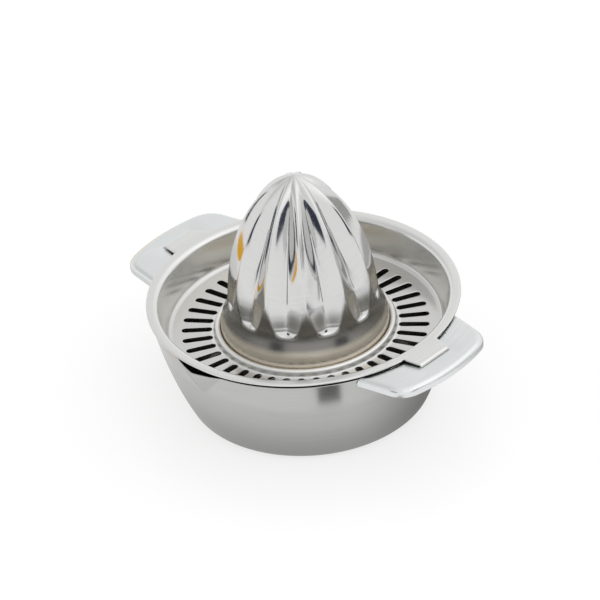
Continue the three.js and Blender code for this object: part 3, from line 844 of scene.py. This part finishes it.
def brushed_steel(name, colour, roughness, grain, bump, climb=1.0, painted_light_zones=()):
    """Polished or satin sheet steel with its grain round Z.

    climb is +1 where the section rises outwards and -1 where it rises inwards. Each zone is a function
    that gives its share from the nodes, the place and the radius, then its tone and what it adds to the
    roughness."""
    material = bpy.data.materials.new(name)
    material.use_nodes = True
    nodes = Nodes(material.node_tree)
    shader = material.node_tree.nodes["Principled BSDF"]
    place = nodes.add("ShaderNodeTexCoord").outputs["Object"]
    axis = nodes.add("ShaderNodeSeparateXYZ", {0: place})
    x, y, z = axis.outputs
    radius = nodes.math("MAXIMUM", nodes.math("SQRT", nodes.math(
        "ADD", nodes.math("MULTIPLY", x, x), nodes.math("MULTIPLY", y, y))), 1e-4)
    meridian = nodes.math("ADD", radius, nodes.math("MULTIPLY", z, climb))

    def grain_noise(turn, rise, detail, offset):
        vector = nodes.add("ShaderNodeCombineXYZ", {
            0: nodes.math("MULTIPLY", nodes.math("DIVIDE", x, radius), turn),
            1: nodes.math("MULTIPLY", nodes.math("DIVIDE", y, radius), turn),
            2: nodes.math("ADD", nodes.math("MULTIPLY", meridian, rise), offset)}).outputs[0]
        return nodes.add("ShaderNodeTexNoise", {"Vector": vector, "Scale": 1.0, "Detail": detail,
                                                "Roughness": 0.6}).outputs[0]

    fine = grain_noise(*FINE_GRAIN)
    broad = grain_noise(*BROAD_GRAIN)
    cloud = nodes.add("ShaderNodeTexNoise", {"Vector": place, "Scale": CLOUD_SCALE, "Detail": 3.0}).outputs[0]
    smudge = nodes.add("ShaderNodeTexNoise", {"Vector": place, "Scale": SMUDGE_SCALE, "Detail": 4.0,
                                              "Roughness": 0.65}).outputs[0]
    streak = nodes.scale_range(broad, 0.3, 0.7, -1.0, 1.0)
    rough = nodes.math("ADD", roughness, nodes.math("MULTIPLY", streak, grain))
    rough = nodes.math("ADD", rough, nodes.scale_range(cloud, 0.35, 0.7, *CLOUD_ROUGHNESS))
    rough = nodes.math("ADD", rough, nodes.scale_range(smudge, 0.55, 0.8, 0.0, SMUDGE_ROUGHNESS))
    dark, light = (tuple(min(1.0, c * share) for c in colour) + (1.0,) for share in GRAIN_TONES)
    grain_and_painted_light = nodes.mix(nodes.scale_range(fine, 0.3, 0.7, 0.0, 1.0), dark, light)
    # The zones paint shade, light and reflections into the colour, over the grain.
    for share_of, tone, added in painted_light_zones:
        share = share_of(nodes, (x, y, z), radius)
        grain_and_painted_light = nodes.mix(share, grain_and_painted_light, tuple(tone) + (1.0,))
        rough = nodes.math("ADD", rough, nodes.math("MULTIPLY", share, added))
    nodes.tree.links.new(rough, shader.inputs["Roughness"])
    nodes.tree.links.new(grain_and_painted_light, shader.inputs["Base Color"])
    waves = nodes.add("ShaderNodeTexNoise", {"Vector": place, "Scale": WAVE_SCALE, "Detail": 1.0}).outputs[0]
    first = nodes.add("ShaderNodeBump", {"Strength": 1.0, "Distance": WAVE_HEIGHT * MM, "Height": waves})
    second = nodes.add("ShaderNodeBump", {"Strength": 1.0, "Distance": bump * MM, "Height": fine,
                                          "Normal": first.outputs[0]})
    nodes.tree.links.new(second.outputs[0], shader.inputs["Normal"])
    shader.inputs["Metallic"].default_value = 1.0
    return material


def below(height, soft):
    """The zone under a height."""
    def share(nodes, place, radius):
        return nodes.scale_range(place[2], (height - soft) * MM, (height + soft) * MM, 1.0, 0.0)
    return share


def within(limit, soft):
    """The zone inside a radius."""
    def share(nodes, place, radius):
        return nodes.scale_range(radius, (limit - soft) * MM, (limit + soft) * MM, 1.0, 0.0)
    return share


def shaded_inside_bowl(nodes, place, radius):
    """Painted shade on the bowl's inner face below the strainer: where the surface looks towards the axis or
    up.
    """
    x, y, z = place
    face = nodes.add("ShaderNodeNewGeometry").outputs["True Normal"]
    nx, ny, nz = nodes.add("ShaderNodeSeparateXYZ", {0: face}).outputs
    outward = nodes.math("DIVIDE", nodes.math("ADD", nodes.math("MULTIPLY", nx, x),
                                              nodes.math("MULTIPLY", ny, y)), radius)
    inner = nodes.math("GREATER_THAN", nodes.math("SUBTRACT", nz, outward), 0.0)
    return nodes.math("MULTIPLY", inner, below(BOWL_INSIDE_SHADE_TOP, 3.0)(nodes, place, radius))


def skirt(nodes, place, radius):
    """Painted dark reflection on the cone's plain skirt and the points between the flutes: the surface at the
    crest circle.
    """
    z = nodes.math("DIVIDE", place[2], MM)
    share = nodes.math("DIVIDE", nodes.math("SUBTRACT", z, RIM_TOP - CONE_WIDEST_DROP),
                       CONE_RISE + CONE_WIDEST_DROP, clamp=True)
    crest = nodes.math("MULTIPLY", CONE_RADIUS, nodes.math(
        "POWER", nodes.math("SUBTRACT", 1.0, nodes.math("POWER", share, CONE_FULLNESS)), CONE_BLUNTNESS))
    depth = nodes.math("SUBTRACT", crest, nodes.math("DIVIDE", radius, MM))
    plain = nodes.scale_range(depth, *SKIRT_REFLECTION_DEPTH, 1.0, 0.0)
    return nodes.math("MULTIPLY", plain, below(CONE_SKIRT_REFLECTION_TOP, 5.0)(nodes, place, radius))


# Painted shade: the bowl's inner face below the strainer is darkened.
bowl_steel = brushed_steel("satin_bowl_steel", (0.49, 0.49, 0.475), 0.18, 0.01, 0.0, painted_light_zones=(
    (shaded_inside_bowl, (0.20, 0.20, 0.19), 0.1),))
handle_steel = brushed_steel("satin_handle_steel", (0.74, 0.76, 0.76), 0.27, 0.012, 0.0)
strainer_steel = brushed_steel("bright_strainer_steel", (0.73, 0.73, 0.72), 0.21, 0.02, 0.0004, painted_light_zones=(
    # Painted shade: the dish's wall is a little darker below the flange, and its floor darker still.
    (below(DISH_WALL_SHADE_TOP, 1.0), (0.70, 0.695, 0.66), 0.0),
    (below(DISH_FLOOR_SHADE_TOP, 1.0), (0.64, 0.635, 0.62), 0.0),
    # Painted light: the raised collar round the cone is lighter.
    (within(DISH_COLLAR_LIGHT_EDGE, 0.6), (0.80, 0.80, 0.79), 0.16)))
cone_steel = brushed_steel("polished_cone_steel", (0.66, 0.66, 0.655), 0.11, 0.015, 0.0003, -1.0, painted_light_zones=(
    # Painted dark reflection on the cone's plain skirt.
    (skirt, (0.235, 0.23, 0.215), 0.14),
    # Painted warm reflection: a brownish band round the foot of the cone.
    (below(CONE_REFLECTION_BAND_TOP, 1.6), (0.76, 0.70, 0.60), 0.12)))


# ---------- pieces ----------

for piece, body, node, slot_name in (
        (juice_bowl(bowl_steel), "bowl", "juice_bowl", "bowl_steel"),
        (wing_handle("right_wing", handle_steel, 0), "bowl", "right_handle", "handle_steel"),
        (wing_handle("left_wing", handle_steel, 180), "bowl", "left_handle", "handle_steel"),
        (strainer_dish(strainer_steel), "strainer", "strainer_dish", "strainer_steel"),
        (reamer_cone(cone_steel), "strainer", "reamer_cone", "cone_steel")):
    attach(piece, body)
    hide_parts(node)


# ---------- studio ----------

def floor():
    """A pale table that glows a little, so that shadows on it stay soft."""
    surface = Surface()
    rings = np.array([[0, 0], [200, 0], [1000, 0], [6000, 0]], float)
    surface.grid(turned(rings, np.linspace(0, 360, 97)[:-1]), closed=True)
    return surface.build("floor", matte("pale_floor", (0.32, 0.32, 0.32), (0.69, 0.69, 0.69)))


def soft_light(name, place, target, size, power):
    lamp = bpy.data.lights.new(name, "AREA")
    lamp.shape = "RECTANGLE"
    lamp.size, lamp.size_y = size
    lamp.energy = power
    holder = bpy.data.objects.new(name, lamp)
    holder.location = place
    holder.rotation_euler = (Vector(place) - Vector(target)).to_track_quat("Z", "Y").to_euler()
    holder.visible_glossy = False
    bpy.context.scene.collection.objects.link(holder)


middle = Vector((0, 0, RIM_TOP * MM))
soft_light("key", (-0.5, 0.5, 1.6), middle, (0.8, 0.8), 2)


def seen_from_camera_side(nodes, way):
    """The parts of a direction or a place: towards the camera's side, to its right, and up."""
    turn = {"Vector": way, "Angle": math.radians(90 - CAMERA_AZIMUTH)}
    turned_way = nodes.add("ShaderNodeVectorRotate", turn, rotation_type="Z_AXIS").outputs[0]
    return nodes.add("ShaderNodeSeparateXYZ", {0: turned_way}).outputs


def studio_world():
    world = bpy.data.worlds.new("studio")
    world.use_nodes = True
    nodes = Nodes(world.node_tree)
    x, y, z = seen_from_camera_side(nodes, nodes.add("ShaderNodeTexCoord").outputs["Generated"])
    bright_side = nodes.math("ADD", nodes.math("MULTIPLY", x, SKY_FRONT), y)
    slant = nodes.math("MULTIPLY", bright_side, nodes.scale_range(z, *SKY_RISE, 0.0, SKY_SLANT))
    light = nodes.math("ADD", slant, 1.0)
    background = world.node_tree.nodes["Background"]
    nodes.tree.links.new(nodes.add("ShaderNodeCombineColor", {0: light, 1: light, 2: light}).outputs[0],
                         background.inputs["Color"])
    background.inputs["Strength"].default_value = ROOM_STRENGTH
    bpy.context.scene.world = world


def only_reflected(piece):
    """A thing out of the picture that only shows as a reflection in the steel."""
    piece.visible_camera = piece.visible_diffuse = piece.visible_shadow = False


def matte(name, colour, glow=(0, 0, 0)):
    """A dull material that can also give off its own tone."""
    material = bpy.data.materials.new(name)
    material.use_nodes = True
    shader = material.node_tree.nodes["Principled BSDF"]
    shader.inputs["Base Color"].default_value = tuple(colour) + (1,)
    shader.inputs["Roughness"].default_value = 1.0
    shader.inputs["Specular IOR Level"].default_value = 0.0
    shader.inputs["Emission Color"].default_value = tuple(glow) + (1,)
    shader.inputs["Emission Strength"].default_value = 1.0
    return material


def fruit(name, azimuth, distance, radius):
    turn = math.radians(CAMERA_AZIMUTH - 90 + azimuth)
    bpy.ops.mesh.primitive_uv_sphere_add(segments=48, ring_count=24, radius=radius * MM,
                                         location=(distance * MM * math.cos(turn),
                                                   distance * MM * math.sin(turn), radius * MM))
    ball = bpy.context.object
    ball.name = name
    ball.data.shade_smooth()
    ball.data.materials.append(matte(name, (0.80, 0.42, 0.02)))
    only_reflected(ball)


def board(name, azimuths, distance, heights, tone):
    """A board that stands round one side of the set."""
    angles = np.linspace(*azimuths, 25) + CAMERA_AZIMUTH - 90
    surface = Surface()
    surface.grid(turned(np.array([[distance, height] for height in heights], float), angles))
    only_reflected(surface.build(name, matte(name, (0, 0, 0), tone)))


def table_shade():
    """A glowing disc with the painted shadow of the table close to the bowl, as the bowl's wall reflects it.

    It jumps at azimuth 180, where the left and right tones meet, and that shows on the bowl's back."""
    surface = Surface()
    surface.grid(turned(np.array([[0, 0.2], [60, 0.2], [SHADE_REACH, 0.2]]), np.linspace(0, 360, 97)[:-1]),
                 closed=True)
    material = matte("table_shade", (0, 0, 0), (1, 1, 1))
    nodes = Nodes(material.node_tree)
    place = nodes.add("ShaderNodeTexCoord").outputs["Object"]
    x, y, _ = seen_from_camera_side(nodes, place)
    azimuth = nodes.math("MULTIPLY", nodes.math("ARCTAN2", y, x), 180 / math.pi)
    radius = nodes.math("DIVIDE", nodes.math("SQRT", nodes.math(
        "ADD", nodes.math("MULTIPLY", x, x), nodes.math("MULTIPLY", y, y))), MM)
    edge, under = (nodes.scale_range(radius, *ramp) for ramp in SHADE_RADII)
    tone = nodes.math("MULTIPLY", edge, under)
    tone = nodes.math("MULTIPLY", tone, nodes.scale_range(azimuth, *SHADE_LEFT))
    close = nodes.scale_range(radius, *SHADE_CLOSE, 1.0, 0.0)
    far = nodes.math("SUBTRACT", 1.0, close)
    right = nodes.math("ADD", nodes.math("MULTIPLY", close, nodes.scale_range(azimuth, *SHADE_RIGHT)),
                       nodes.math("MULTIPLY", far, nodes.scale_range(azimuth, *SHADE_FAR_RIGHT)))
    tone = nodes.math("MULTIPLY", tone, right)
    under_handle = nodes.math("MULTIPLY", window(nodes, azimuth, *HANDLE_SHADOW_AZIMUTHS, 0.5),
                              window(nodes, radius, *HANDLE_SHADOW_RADII, 1.0))
    tone = nodes.math("MULTIPLY", tone, nodes.scale_range(under_handle, 0.0, 1.0, 1.0, HANDLE_SHADOW_TONE))
    nodes.tree.links.new(tone, material.node_tree.nodes["Principled BSDF"].inputs["Emission Strength"])
    only_reflected(surface.build("table_shade", material))


floor()
studio_world()
for i, (azimuth, distance, radius) in enumerate(FRUIT):
    fruit(f"fruit_{i + 1}", azimuth, distance, radius)
for i, (start, end, distance, low, high, tone) in enumerate(BOARDS):
    board(f"board_{i + 1}", (start, end), distance, (low, high), tone)
table_shade()
bpy.context.scene.view_settings.view_transform = "Standard"


def camera():
    azimuth, elevation, roll = (math.radians(v) for v in (CAMERA_AZIMUTH, CAMERA_ELEVATION, CAMERA_ROLL))
    back = Vector((math.sin(azimuth) * math.cos(elevation), -math.cos(azimuth) * math.cos(elevation),
                   math.sin(elevation)))
    right = Vector((math.cos(azimuth), math.sin(azimuth), 0))
    up = Vector((-math.sin(azimuth) * math.sin(elevation), math.cos(azimuth) * math.sin(elevation),
                 math.cos(elevation)))
    across = right * math.cos(roll) - up * math.sin(roll)
    upward = right * math.sin(roll) + up * math.cos(roll)
    lens = bpy.data.cameras.new("camera")
    lens.lens, lens.sensor_width = CAMERA_LENS, SENSOR_WIDTH
    lens.shift_x, lens.shift_y = SHIFT_X, SHIFT_Y
    lens.clip_end = 20
    holder = bpy.data.objects.new("camera", lens)
    holder.matrix_world = Matrix((across, upward, back)).transposed().to_4x4()
    holder.location = middle + back * CAMERA_DISTANCE
    bpy.context.scene.collection.objects.link(holder)
    return holder


bpy.context.scene.camera = camera()
